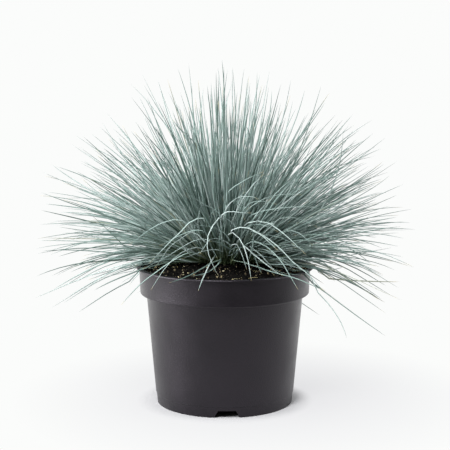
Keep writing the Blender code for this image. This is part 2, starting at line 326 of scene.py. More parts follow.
# Peat: almost black while damp, with no gloss, and browner where a crumb has dried.
PEAT_PATCH = 0.0030
PEAT_DEPTH = 0.0008
peat, tree, shader = finish_called("damp_peat")
spot = put(tree, "ShaderNodeTexCoord").outputs["Object"]
patch = put(tree, "ShaderNodeTexNoise", {"Scale": 1.0 / PEAT_PATCH, "Detail": 6.0, "Roughness": 0.7},
            {"Vector": spot})
tint = put(tree, "ShaderNodeValToRGB", links={"Fac": patch.outputs["Fac"]},
           stops=[(0.36, "#030302"), (0.74, "#1a130e"), (0.56, "#080605")])
relief = put(tree, "ShaderNodeBump", {"Strength": 1.0, "Distance": PEAT_DEPTH},
             {"Height": patch.outputs["Fac"]})
wire(tree, shader, {"Roughness": 0.92, "Specular IOR Level": 0.1},
     {"Base Color": tint.outputs["Color"], "Normal": relief.outputs["Normal"]})
soil.data.materials.append(peat)
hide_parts("soil")
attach(soil, "root")


# Crumbs and bark chips
# What lies loose on the mix: crumbs of peat, and pale slivers of bark and wood that catch the light.
# They rest on the mounded top, sunk in by about a third. Lift is the share of its size that one is raised.
CRUMBS = {"count": 2600, "sizes": (0.0006, 0.0022), "size_bias": 2.4, "proportions": (1.0, 1.0, 1.0),
          "stretch": (0.7, 1.2), "lift": 0.20}
CHIPS = {"count": 760, "sizes": (0.0006, 0.0030), "size_bias": 2.2, "proportions": (1.0, 0.58, 0.4),
         "stretch": (0.7, 1.3), "lift": 0.15}
CRUMB_ROUGHNESS = 0.16
CRUMB_SHAPE_SEED = 3
CHIP_CORNERS = 0.16
CHIP_ROUGHNESS = 0.09
CHIP_SHAPE_SEED = 8
CHIP_TONE_BIAS = 1.5
CLEAR_CROWN_SHARE = 0.75
LOOSE_EDGE_GAP = 0.0022
LOOSE_HEIGHT = 0.0006
LOOSE_SEED = 5
draw = np.random.default_rng(LOOSE_SEED)


def shape_read(item):
    """The points and faces of a modelled shape, which is then taken away."""
    spots = np.array([vert.co for vert in item.data.vertices])
    faces = [tuple(face.vertices) for face in item.data.polygons]
    bpy.data.objects.remove(item)
    return spots, faces


def in_scene(name, data):
    """A new object of a mesh, a lamp or a camera."""
    item = bpy.data.objects.new(name, data)
    bpy.context.scene.collection.objects.link(item)
    return item


def piece_of(name, spots, faces, marks, smooth):
    """One mesh of many joined small shapes, with a number for each point under each mark's name."""
    mesh = bpy.data.meshes.new(name)
    mesh.from_pydata(spots.tolist(), [], faces)
    for mark, values in marks.items():
        attribute = mesh.attributes.new(mark, "FLOAT", "POINT")
        attribute.data.foreach_set("value", values.astype(np.float32))
    if smooth:
        mesh.shade_smooth()
    return in_scene(name, mesh)


def repeated_faces(faces, spots, count):
    """The faces of count copies of a small shape, whose points follow each other."""
    starts = [number * len(spots) for number in range(count)]
    return [tuple(corner + start for corner in face) for start in starts for face in faces]


def turned_copies(spots, faces, places, sizes):
    """Copies of a small shape at places, each stretched by its sizes and turned at random."""
    copies = []
    for place, size in zip(places, sizes):
        axis, _ = np.linalg.qr(draw.normal(size=(3, 3)))
        if np.linalg.det(axis) < 0.0:
            axis[:, 0] *= -1.0
        copies.append((spots * size) @ axis.T + place)
    return np.concatenate(copies), repeated_faces(faces, spots, len(copies))


def on_the_mix(count, lifts):
    """Random places on the top of the mix outside the crown, each with its lift."""
    inner, outer = CLEAR_CROWN_SHARE * CROWN_RADIUS, soil_edge_radius - LOOSE_EDGE_GAP
    radius = np.sqrt(draw.uniform(inner ** 2, outer ** 2, count))
    angle = draw.uniform(0.0, math.tau, count)
    height = soil_height(radius) + LOOSE_HEIGHT + lifts
    return np.stack([radius * np.cos(angle), radius * np.sin(angle), height], axis=1)


def strewn(shape, count, sizes, size_bias, proportions, stretch, lift):
    """Copies of a shape strewn over the mix, most of them small, each raised by lift times its size."""
    size = sizes[0] + (sizes[1] - sizes[0]) * draw.random(count) ** size_bias
    stretched = size[:, None] * proportions * draw.uniform(*stretch, (count, 3))
    return turned_copies(*shape, on_the_mix(count, size * lift), stretched)


crumb = new_shape(bpy.ops.mesh.primitive_ico_sphere_add, subdivisions=1, radius=0.5)
edit_all()
bpy.ops.transform.vertex_random(offset=CRUMB_ROUGHNESS, seed=CRUMB_SHAPE_SEED)
bpy.ops.object.mode_set(mode="OBJECT")
spots, faces = strewn(shape_read(crumb), **CRUMBS)
crumbs = piece_of("peat_crumbs", spots, faces, {}, smooth=False)
crumbs.data.materials.append(peat)
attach(crumbs, "root")

chip = new_shape(bpy.ops.mesh.primitive_cube_add, size=1.0)
edit_all()
bpy.ops.mesh.bevel(offset=CHIP_CORNERS, segments=1, affect="EDGES")
bpy.ops.transform.vertex_random(offset=CHIP_ROUGHNESS, seed=CHIP_SHAPE_SEED)
bpy.ops.object.mode_set(mode="OBJECT")
spots, faces = strewn(shape_read(chip), **CHIPS)
chip_tones = np.repeat(draw.random(CHIPS["count"]) ** CHIP_TONE_BIAS, len(spots) // CHIPS["count"])
chips = piece_of("bark_chips", spots, faces, {"tone": chip_tones}, smooth=False)

# Chipped softwood and bark: matt, from cream where freshly split to brown where stained by peat.
WOOD_GRAIN = 0.0007
wood, tree, shader = finish_called("chipped_softwood")
tone = put(tree, "ShaderNodeAttribute", attribute_name="tone").outputs["Fac"]
spot = put(tree, "ShaderNodeTexCoord").outputs["Object"]
streak = put(tree, "ShaderNodeTexNoise", {"Scale": 1.0 / WOOD_GRAIN, "Detail": 3.0}, {"Vector": spot})
tint = put(tree, "ShaderNodeValToRGB", links={"Fac": tone},
           stops=[(0.0, "#241d15"), (1.0, "#d9cfa8"), (0.45, "#453a28"), (0.8, "#a39671")])
worn = put(tree, "ShaderNodeMix", {0: 0.35}, {6: tint.outputs["Color"], 7: streak.outputs["Color"]},
           data_type="RGBA", blend_type="MULTIPLY")
wire(tree, shader, {"Roughness": 0.85}, {"Base Color": worn.outputs[2]})
chips.data.materials.append(wood)
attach(chips, "root")


# Leaves
# Each leaf is a needle: a blade folded along its midrib, about 1.6 mm across, with a groove down its
# upper side, rising from a green sheath in the crown to a point. The blade is modelled twice, with few
# stations and with many for leaves that bend sharply, and is carried along the path of each leaf.
BLADE_SIDES = 6
BLADE_STATIONS = (0.05, 0.12, 0.22, 0.33, 0.44, 0.55, 0.66, 0.76, 0.85, 0.92, 0.97)
ARCHED_BLADE_STATIONS = (0.04, 0.09, 0.15, 0.21, 0.27, 0.33, 0.39, 0.45, 0.51, 0.57, 0.63, 0.69, 0.75,
                         0.81, 0.86, 0.91, 0.95, 0.98)
BLADE_GROOVE = 0.30
BLADE_DEPTH = 0.72
BLADE_WIDTHS = (0.00136, 0.00190)
BLADE_TWISTS = (-0.9, 0.9)
SHEATH_FULLNESS = 0.20
SHEATH_SHARE = 0.12
TAPER_LATENESS = 5.2
TAPER_BLUNTNESS = 0.75
UPRIGHT_TOLERANCE = 1e-4


def blade_taper(share):
    """Width of a blade against its fullest, at a share of its length."""
    sheath = SHEATH_FULLNESS * max(0.0, 1.0 - share / SHEATH_SHARE)
    return (1.0 - share ** TAPER_LATENESS) ** TAPER_BLUNTNESS + sheath


def blade_with(stations):
    """A straight blade 1 long and 1 wide: its points, faces, stations, and the station of each point."""
    blade = new_shape(bpy.ops.mesh.primitive_circle_add, vertices=BLADE_SIDES, radius=0.5)
    groove = max(blade.data.vertices, key=lambda vert: vert.co.y)
    groove.co.y -= BLADE_GROOVE
    edit_all()
    bpy.ops.transform.resize(value=(1.0, BLADE_DEPTH, 1.0), center_override=(0, 0, 0))
    bpy.ops.mesh.edge_face_add()
    share = 0.0
    for next_share in stations:
        bpy.ops.mesh.extrude_region_move(TRANSFORM_OT_translate={"value": (0, 0, next_share - share)})
        thinner = blade_taper(next_share) / blade_taper(share)
        bpy.ops.transform.resize(value=(thinner, thinner, 1.0), center_override=(0, 0, next_share))
        share = next_share
    bpy.ops.mesh.extrude_region_move(TRANSFORM_OT_translate={"value": (0, 0, 1.0 - share)})
    bpy.ops.mesh.merge(type="CENTER")
    bpy.ops.mesh.select_all(action="SELECT")
    bpy.ops.mesh.normals_make_consistent(inside=False)
    bpy.ops.object.mode_set(mode="OBJECT")
    spots, faces = shape_read(blade)
    shares, station = np.unique(np.round(spots[:, 2], 5), return_inverse=True)
    return spots, faces, shares, station


straight_blade = blade_with(BLADE_STATIONS)
arched_blade = blade_with(ARCHED_BLADE_STATIONS)
straight_shares = straight_blade[2]
arched_shares = arched_blade[2]

# A living fescue leaf: green under a bluish wax bloom that scatters light, so it is matt and pale with a
# soft sheen.
# Painted shade darkens it towards the point. Near the sheath it turns a darker green, partly the sheath's
# own green and partly painted shade for the depth of the crown. Tips and old leaves dry to straw.
BLOOM_PATCH = 0.006
leaf_finish, tree, shader = finish_called("waxy_fescue_leaf")
along = put(tree, "ShaderNodeAttribute", attribute_name="along").outputs["Fac"]
tone = put(tree, "ShaderNodeAttribute", attribute_name="tone").outputs["Fac"]
dryness = put(tree, "ShaderNodeAttribute", attribute_name="dryness").outputs["Fac"]
spot = put(tree, "ShaderNodeTexCoord").outputs["Object"]
bloom = put(tree, "ShaderNodeTexNoise", {"Scale": 1.0 / BLOOM_PATCH, "Detail": 2.0}, {"Vector": spot})
waxed = put(tree, "ShaderNodeValToRGB", links={"Fac": tone},
            stops=[(0.0, "#32473d"), (1.0, "#c6d3d1"), (0.5, "#90a5a0")])
mottled = put(tree, "ShaderNodeMix", {7: linear("#758b83")},
              {0: put(tree, "ShaderNodeMapRange", {"From Min": 0.45, "From Max": 0.75, "To Max": 0.4},
                      {"Value": bloom.outputs["Fac"]}).outputs["Result"],
               6: waxed.outputs["Color"]}, data_type="RGBA")
# Painted shade: the colour darkens from half way along the leaf to its point.
tip_shade_share = put(tree, "ShaderNodeMapRange", {"From Min": 0.50, "From Max": 1.0, "To Max": 0.74},
                  {"Value": along})
shaded_tip = put(tree, "ShaderNodeMix", {7: linear("#455955")},
              {0: tip_shade_share.outputs["Result"], 6: mottled.outputs[2]}, data_type="RGBA")
# Partly painted shade: the lower half of each leaf turns a darker green towards its foot, the sheath's own
# green darkened as if shaded.
green_and_shade_share = put(tree, "ShaderNodeMapRange",
                  {"From Min": 0.02, "From Max": 0.50, "To Min": 0.9, "To Max": 0.0},
                  {"Value": along}, interpolation_type="SMOOTHSTEP")
green_and_shaded_foot = put(tree, "ShaderNodeMix", {7: linear("#58683d")},
              {0: green_and_shade_share.outputs["Result"], 6: shaded_tip.outputs[2]}, data_type="RGBA")
dried = put(tree, "ShaderNodeMix", {7: linear("#a39466")}, {0: dryness, 6: green_and_shaded_foot.outputs[2]},
            data_type="RGBA")
wire(tree, shader, {"Roughness": 0.52, "Specular IOR Level": 0.4}, {"Base Color": dried.outputs[2]})


def blades_along(name, blade, paths, widths, twists, tones, dryness):
    """One piece of many blades. paths holds a point for each leaf at each station of the blade."""
    blade_spots, blade_faces, blade_shares, blade_station = blade
    count = len(paths)
    heading = np.gradient(paths, axis=1)
    heading /= np.linalg.norm(heading, axis=2, keepdims=True)
    flat = np.cross(np.array([0.0, 0.0, 1.0]), heading)
    flat[np.linalg.norm(flat, axis=2) < UPRIGHT_TOLERANCE] = (-1.0, 0.0, 0.0)
    flat /= np.linalg.norm(flat, axis=2, keepdims=True)
    upper = np.cross(heading, flat)
    cosine = np.cos(twists)[:, None, None]
    sine = np.sin(twists)[:, None, None]
    across = cosine * flat - sine * upper
    through = cosine * upper + sine * flat
    side = blade_spots[:, 0][None, :, None] * widths[:, None, None]
    depth = blade_spots[:, 1][None, :, None] * widths[:, None, None]
    spots = paths[:, blade_station] + side * across[:, blade_station] + depth * through[:, blade_station]
    marks = {
        "along": np.tile(blade_shares[blade_station], count),
        "tone": np.repeat(tones, len(blade_spots)),
        "dryness": dryness[:, blade_station].reshape(-1),
    }
    item = piece_of(name, spots.reshape(-1, 3), repeated_faces(blade_faces, blade_spots, count), marks,
                    smooth=True)
    item.data.materials.append(leaf_finish)
    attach(item, "root")
    return item


# Tufts
# The clump is 54 tufts set out in the crown as seeds are in a sunflower. Leaves in the middle stand
# up, those round them lean out, and the outer ones arch over the rim. At the front they part.
TUFT_COUNT = 54
TUFT_RING = 0.90
GOLDEN_ANGLE = math.pi * (3.0 - math.sqrt(5.0))
FIRST_TUFT_ANGLE = math.radians(20.0)
LEAF_LENGTH = 0.1820
LEAF_LENGTH_LOSS = 0.0365
CLUMP_RADIUS = 0.1810
WIDEST_LEAN = math.radians(106.0)
LEAST_BEND = 0.12
EXTRA_BEND = 0.20
EARLY_BEND = 0.45
FRONT_BASE_LEAN = math.radians(46.0)
FRONT_TIP_LEAN = math.radians(132.0)
FRONT_HALF_ANGLE = math.radians(36.0)
FRONT_FADE = math.radians(26.0)
FRONT_LIFT = 0.34
LIMPEST_LEAN = math.radians(122.0)
UPRIGHT_LIMIT = 0.42
ARCHING_LIMIT = 0.74
LEAVES_IN_TUFT = {"upright": 38, "leaning": 44, "arching": 41}
FULLER_TO_RIGHT = 0.12
TUFT_SCATTER = 0.155
SHORTEST_SHARE = 0.44
LONGEST_SHARE = 1.07
LENGTH_BIAS = 1.27
FOOT_LEAN_SCATTER = math.radians(6.5)
TIP_LEAN_SCATTER = math.radians(11.0)
TURN_SCATTER = math.radians(7.5)
CURL_SCATTER = math.radians(11.0)
CURL_LATENESS = 1.5
KINKED_SHARE = 0.015
KINKS = (0.35, 0.60)
KINK_PLACES = (0.45, 0.80)
STRAY_SHARE = 0.16
STRAY_SCATTER = 2.4
SHORT_LEAF_SCATTER = 1.6
WAVE = math.radians(3.5)
WAVES_IN_LEAF = (0.6, 1.3)
DROOPING_SHARE = 0.13
DROOPS = (math.radians(10.0), math.radians(30.0))
OLIVE_SHARE = 0.012
OLIVE_DRYNESS = (0.15, 0.50)
DRY_TIP_SHARE = 0.16
DRY_TIP_START = 0.94
DRY_TIP_FADE = 0.05
RIM_RISE_RADIUS = 0.0660
RIM_CLEARANCE = 0.0012
CLEAR_OVER_RIM = 0.0080
COLLAR_FRONT_Y = -0.0450
PATH_STEPS = 44
LEAF_SEED = 23
step_shares = (np.arange(PATH_STEPS) + 0.5) / PATH_STEPS
draw = np.random.default_rng(LEAF_SEED)


def eased(share):
    """A share kept from 0 to 1, that starts and ends gently."""
    share = np.clip(share, 0.0, 1.0)
    return share * share * (3.0 - 2.0 * share)


def front_share(x, y):
    """1 where a leaf faces the open front of the clump, 0 at its sides and back."""
    off_front = np.abs(np.arctan2(x, -y))
    return eased(1.0 - (off_front - FRONT_HALF_ANGLE) / FRONT_FADE)


def held_clear(paths):
    """Paths lifted where they would sink in the mix or cut the rim."""
    radius = np.hypot(paths[..., 0], paths[..., 1])
    mix_top = soil_height(radius)
    over_rim = eased((radius - RIM_RISE_RADIUS) / (inner_lip_radius - RIM_RISE_RADIUS))
    lowest = mix_top + (POT_HEIGHT + RIM_CLEARANCE - mix_top) * over_rim
    lowest = np.where(radius > LIP_RADIUS + RIM_CLEARANCE, -1.0, lowest)
    lifted = paths.copy()
    lifted[..., 2] = np.maximum(paths[..., 2], lowest)
    return lifted


def walked_out(start_radius, heading, lean, turned, length):
    """Paths from the mix at a radius and heading, with their lean and turn at each step."""
    steps = np.stack([np.sin(lean) * np.cos(turned), np.sin(lean) * np.sin(turned), np.cos(lean)],
                     axis=2) * (length / PATH_STEPS)[:, None, None]
    start = np.stack([start_radius * np.cos(heading), start_radius * np.sin(heading),
                      soil_height(start_radius) + TOUCH_GAP], axis=1)
    return np.concatenate([start[:, None], start[:, None] + np.cumsum(steps, axis=1)], axis=1)


def grown_paths(x, y, arching, length):
    """Paths of leaves that grow at x, y on a disc of radius 1 that stands for the crown."""
    count = len(x)
    ring = np.hypot(x, y)
    heading = np.arctan2(y, x)
    middle = np.arccos(1.0 - ring ** 2 * (1.0 - math.cos(WIDEST_LEAN)))
    bend = LEAST_BEND + EXTRA_BEND * ring ** 3
    front = front_share(x, y)
    if not arching:
        middle = middle * (1.0 - FRONT_LIFT * front)
    foot = (1.0 - bend) * middle
    tip = (1.0 + bend) * middle
    if arching:
        foot = foot + (FRONT_BASE_LEAN - foot) * front
        tip = tip + (FRONT_TIP_LEAN - tip) * front
    straying = np.where(draw.random(count) < STRAY_SHARE, STRAY_SCATTER, 1.0)
    straying = straying * (1.0 + SHORT_LEAF_SCATTER * (1.0 - length / LEAF_LENGTH) ** 2)
    foot = foot + straying * draw.normal(0.0, FOOT_LEAN_SCATTER, count)
    tip = tip + straying * draw.normal(0.0, TIP_LEAN_SCATTER, count)
    turn = heading + straying * draw.normal(0.0, TURN_SCATTER, count)
    curl = straying * draw.normal(0.0, CURL_SCATTER, count)
    if arching:
        tip = tip + np.where(draw.random(count) < DROOPING_SHARE, draw.uniform(*DROOPS, count), 0.0)
    evenness = 1.0 - EARLY_BEND * ring ** 3
    kink_at = draw.uniform(*KINK_PLACES, count)
    kinked = draw.random(count) < KINKED_SHARE
    kink = np.where(kinked, draw.uniform(*KINKS, count) * draw.choice([-1.0, 1.0], count), 0.0)

    reach = step_shares * length[:, None]
    lean = foot[:, None] + (tip - foot)[:, None] * (reach / LEAF_LENGTH) ** evenness[:, None]
    lean = lean + kink[:, None] * (step_shares > kink_at[:, None])
    waves = math.tau * draw.uniform(*WAVES_IN_LEAF, (2, count))[:, :, None] * step_shares
    waves = WAVE * np.sin(waves + draw.uniform(0.0, math.tau, (2, count))[:, :, None])
    lean = np.minimum(lean + waves[0], LIMPEST_LEAN)
    turned = turn[:, None] + curl[:, None] * step_shares ** CURL_LATENESS + waves[1]
    return walked_out(CROWN_RADIUS * ring, heading, lean, turned, length)


def at_stations(paths, blade_shares):
    """The points of finely stepped paths at the blade's stations."""
    at = blade_shares * (paths.shape[1] - 1)
    low = np.minimum(at.astype(int), paths.shape[1] - 2)
    part = (at - low)[None, :, None]
    return paths[:, low] * (1.0 - part) + paths[:, low + 1] * part


def within_clump(paths):
    """Paths shortened towards their foot where a tip would stand outside the clump."""
    reach = np.hypot(paths[:, -1, 0], paths[:, -1, 1])
    share = np.minimum(1.0, CLUMP_RADIUS / reach)[:, None, None]
    return paths[:, :1] + (paths - paths[:, :1]) * share


def off_the_collar(paths):
    """Which paths stay off the front of the collar, where only the leaves set one by one hang."""
    ahead = (paths[..., 1] < COLLAR_FRONT_Y) & (np.abs(paths[..., 0]) < LIP_RADIUS)
    past_rim = (paths[..., 1] < -LIP_RADIUS) & (paths[..., 2] < POT_HEIGHT + CLEAR_OVER_RIM)
    return ~(ahead & ((paths[..., 2] < POT_HEIGHT) | past_rim)).any(axis=1)


def dried_tip(shares, start, fade):
    """How dry a leaf whose tip has dried is at each share of its length."""
    return np.clip((shares - start) / fade, 0.0, 1.0)


counts = {"upright": 0, "leaning": 0, "arching": 0}
front_tufts = []
for index in range(TUFT_COUNT):
    ring = TUFT_RING * math.sqrt((index + 0.5) / TUFT_COUNT)
    angle = FIRST_TUFT_ANGLE + index * GOLDEN_ANGLE
    kind = "upright" if ring < UPRIGHT_LIMIT else "leaning" if ring < ARCHING_LIMIT else "arching"
    centre_x, centre_y = ring * math.cos(angle), ring * math.sin(angle)
    count = round(LEAVES_IN_TUFT[kind] * (1.0 + FULLER_TO_RIGHT * centre_x))
    counts[kind] += 1
    if kind == "arching" and front_share(centre_x, centre_y) > 0.5:
        front_tufts.append(f"{kind}_tuft_{counts[kind]:02d}")
        continue
    away = TUFT_SCATTER * np.sqrt(draw.random(count))
    around = draw.uniform(0.0, math.tau, count)
    x = centre_x + away * np.cos(around)
    y = centre_y + away * np.sin(around)
    full = LEAF_LENGTH - LEAF_LENGTH_LOSS * (x * x + y * y)
    longer = draw.random(count) ** LENGTH_BIAS
    length = full * (SHORTEST_SHARE + (LONGEST_SHARE - SHORTEST_SHARE) * longer)
    grown = within_clump(grown_paths(x, y, kind == "arching", length))
    paths = held_clear(at_stations(grown, straight_shares))
    olive = np.where(draw.random(count) < OLIVE_SHARE, draw.uniform(*OLIVE_DRYNESS, count), 0.0)
    tipped = np.where(draw.random(count) < DRY_TIP_SHARE, 1.0, 0.0)
    tip_dryness = dried_tip(straight_shares, DRY_TIP_START, DRY_TIP_FADE)
    dryness = np.clip(olive[:, None] + tipped[:, None] * tip_dryness, 0.0, 1.0)
    widths = draw.uniform(*BLADE_WIDTHS, count)
    twists = draw.uniform(*BLADE_TWISTS, count)
    tones = draw.random(count)
    kept = off_the_collar(paths)
    tuft = blades_along(f"{kind}_leaves_{counts[kind]:02d}", straight_blade, paths[kept], widths[kept],
                        twists[kept], tones[kept], dryness[kept])
    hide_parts(f"{kind}_tuft_{counts[kind]:02d}")


# Crown leaves
# Young leaves at the front of the crown. They are short and still green, and stand in the parting
# between the feet of the longer ones.
CROWN_LEAF_COUNT = 120
CROWN_LEAF_HALF_ANGLE = math.radians(78.0)
CROWN_LEAF_RINGS = (0.40, 0.98)
CROWN_LEAF_LENGTHS = (0.018, 0.070)
CROWN_LEAF_FOOT_LEANS = (math.radians(-8.0), math.radians(28.0))
CROWN_LEAF_TIP_LEANS = (math.radians(5.0), math.radians(85.0))
CROWN_LEAF_TURN = math.radians(38.0)
CROWN_LEAF_LATE_BEND = 1.4
CROWN_LEAF_WIDTHS = (0.0009, 0.0015)
CROWN_LEAF_TONES = (0.1, 0.8)
CROWN_SEED = 12
draw = np.random.default_rng(CROWN_SEED)
count = CROWN_LEAF_COUNT
heading = -math.pi / 2.0 + draw.uniform(-1.0, 1.0, count) * CROWN_LEAF_HALF_ANGLE
ring = CROWN_RADIUS * draw.uniform(*CROWN_LEAF_RINGS, count)
length = draw.uniform(*CROWN_LEAF_LENGTHS, count)
foot = draw.uniform(*CROWN_LEAF_FOOT_LEANS, count)
tip = draw.uniform(*CROWN_LEAF_TIP_LEANS, count)
turn = heading + draw.normal(0.0, CROWN_LEAF_TURN, count)
lean = foot[:, None] + (tip - foot)[:, None] * step_shares ** CROWN_LEAF_LATE_BEND
grown = walked_out(ring, heading, lean, turn[:, None], length)
paths = held_clear(at_stations(grown, straight_shares))
blades_along("crown_leaves", straight_blade, paths, draw.uniform(*CROWN_LEAF_WIDTHS, count),
             draw.uniform(*BLADE_TWISTS, count), draw.uniform(*CROWN_LEAF_TONES, count),
             np.zeros((count, len(straight_shares))))
